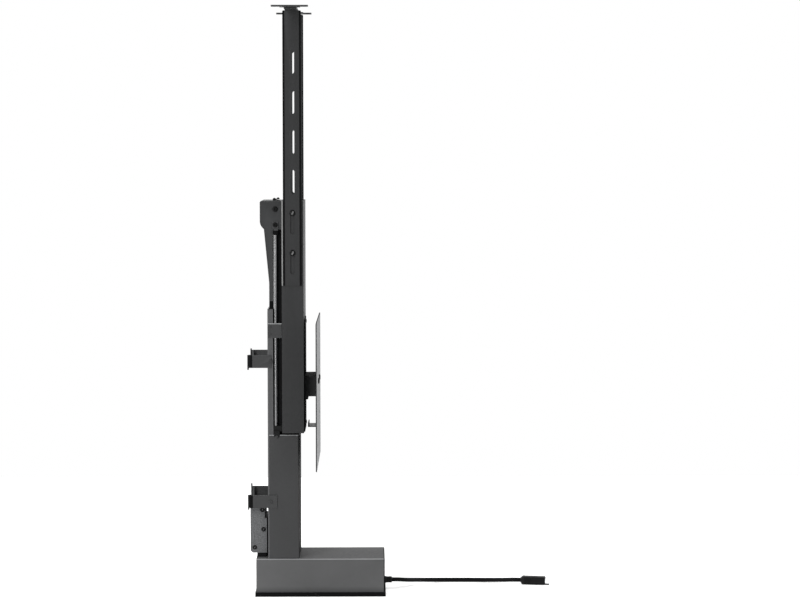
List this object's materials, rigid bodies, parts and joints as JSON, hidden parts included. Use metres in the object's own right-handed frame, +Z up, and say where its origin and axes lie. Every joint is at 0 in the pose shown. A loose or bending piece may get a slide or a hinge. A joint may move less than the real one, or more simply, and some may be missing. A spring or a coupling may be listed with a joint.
{
  "type": "motorised screen lift",
  "caption": "Motorised lift for a flat screen: a low base, a telescoping column, a carriage with a screen plate and a slotted pole that carries the cabinet's lid.",
  "frame": {"origin": "middle of the footprint on the floor, from the wall hooks' ends to the bottom plate's front edge", "axes": "+Z up along the column, +X towards the screen, which is the base's long way, -Y the side that the picture looks at"},
  "size_m": [0.6142, 0.3, 1.167],
  "materials": {
    "black_coat": "fine matt powder coat",
    "base_coat": "fine matt powder coat",
    "end_coat": "matt powder coat",
    "carriage_coat": "satin powder coat",
    "black_screws": "black zinc plating",
    "bright_screws": "zinc plating",
    "glide_plastic": "smooth",
    "textured_case": "coarse textured coat",
    "pad_rubber": "fine ribs",
    "steel": "drawn and zinc plated",
    "belt_rubber": "matt",
    "black_rod": "smooth satin",
    "nut_brass": "turned",
    "board": "solder mask",
    "black_plastic": "moulded",
    "cord_rubber": "smooth matt jacket",
    "connector_metal": "satin"
  },
  "bodies": {
    "base": {"bottom_plate": "black_coat", "column_foot": "black_coat", "rear_upright": "black_coat", "upper_hook_left": "black_coat", "upper_hook_right": "black_coat", "lower_hook_left": "black_coat", "lower_hook_right": "black_coat", "belt_anchors": "black_coat", "rod_clips": "black_coat", "column_cover": "black_coat", "base_cover": "base_coat", "base_end_plate": "end_coat", "base_screws": "black_screws", "clip_screws": "black_screws", "hook_bolts": "black_screws", "gearmotor_screws": "bright_screws", "column_glides": "glide_plastic", "gearmotor_case": "textured_case", "gearmotor_side_cover": "textured_case", "gearmotor_pad": "pad_rubber", "spindle_bearing": "steel", "motor": "steel", "power_supply": "steel", "timing_belt": "belt_rubber", "belt_rear_runs": "belt_rubber", "circuit_board": "board", "rod_guide_blocks": "black_plastic", "cord_gland": "black_plastic", "connector_body": "black_plastic", "cord": "cord_rubber", "connector_nose": "connector_metal"},
    "motor_rotor": {"motor_shaft": "steel"},
    "spindle_unit": {"spindle": "steel", "spindle_pulley": "black_plastic"},
    "stage": {"inner_stage": "black_coat", "top_bracket": "black_coat", "stage_glides": "glide_plastic", "stage_sliders": "glide_plastic", "nut_bridge": "black_coat", "spindle_nut": "nut_brass", "guide_rods": "black_rod", "rod_brackets": "black_coat", "bracket_screws": "black_screws", "pulley_axle": "steel", "belt_wraps": "belt_rubber"},
    "pulleys": {"belt_pulleys": "glide_plastic"},
    "carriage": {"carriage": "carriage_coat", "carriage_rails": "steel", "carriage_crossbar": "black_coat", "front_plate": "black_coat", "screen_mount_block": "black_coat", "screen_ledge": "black_coat", "screen_plate": "carriage_coat", "screen_bolts": "black_screws", "pole_screws": "black_screws", "belt_front_runs": "belt_rubber"},
    "lid_pole": {"pole_leg_left": "carriage_coat", "pole_leg_right": "carriage_coat", "lid_cross_plate": "black_coat", "lid_strips": "black_coat"}
  },
  "joints": [
    {"name": "stage_lift", "type": "slide", "parent": "base", "child": "stage", "axis": [0, 0, 1], "range_m": [0, 0.38], "deforming": ["belt_rear_runs"]},
    {"name": "carriage_lift", "type": "slide", "parent": "stage", "child": "carriage", "axis": [0, 0, 1], "range_m": [0, 0.38], "deforming": ["belt_front_runs"]},
    {"name": "lid_pole_slide", "type": "slide", "parent": "carriage", "child": "lid_pole", "axis": [0, 0, 1], "range_m": [0, 0.038]},
    {"name": "spindle_spin", "type": "hinge", "parent": "base", "child": "spindle_unit", "pos_m": [-0.073, 0, 0.1], "axis": [0, 0, 1], "range_deg": [0, 6841]},
    {"name": "motor_spin", "type": "hinge", "parent": "base", "child": "motor_rotor", "pos_m": [-0.117, 0, 0.1], "axis": [0, 0, 1], "range_deg": [0, 17786]},
    {"name": "pulley_spin", "type": "hinge", "parent": "stage", "child": "pulleys", "pos_m": [-0.081, 0, 0.7715], "axis": [0, -1, 0], "range_deg": [0, 2548]}
  ],
  "couplings": [
    {"joint": "carriage_lift", "follows": "stage_lift", "ratio": 1},
    {"joint": "spindle_spin", "follows": "stage_lift", "rad_per_m": 314.16},
    {"joint": "motor_spin", "follows": "stage_lift", "rad_per_m": 816.81},
    {"joint": "pulley_spin", "follows": "stage_lift", "rad_per_m": 116.96}
  ]
}
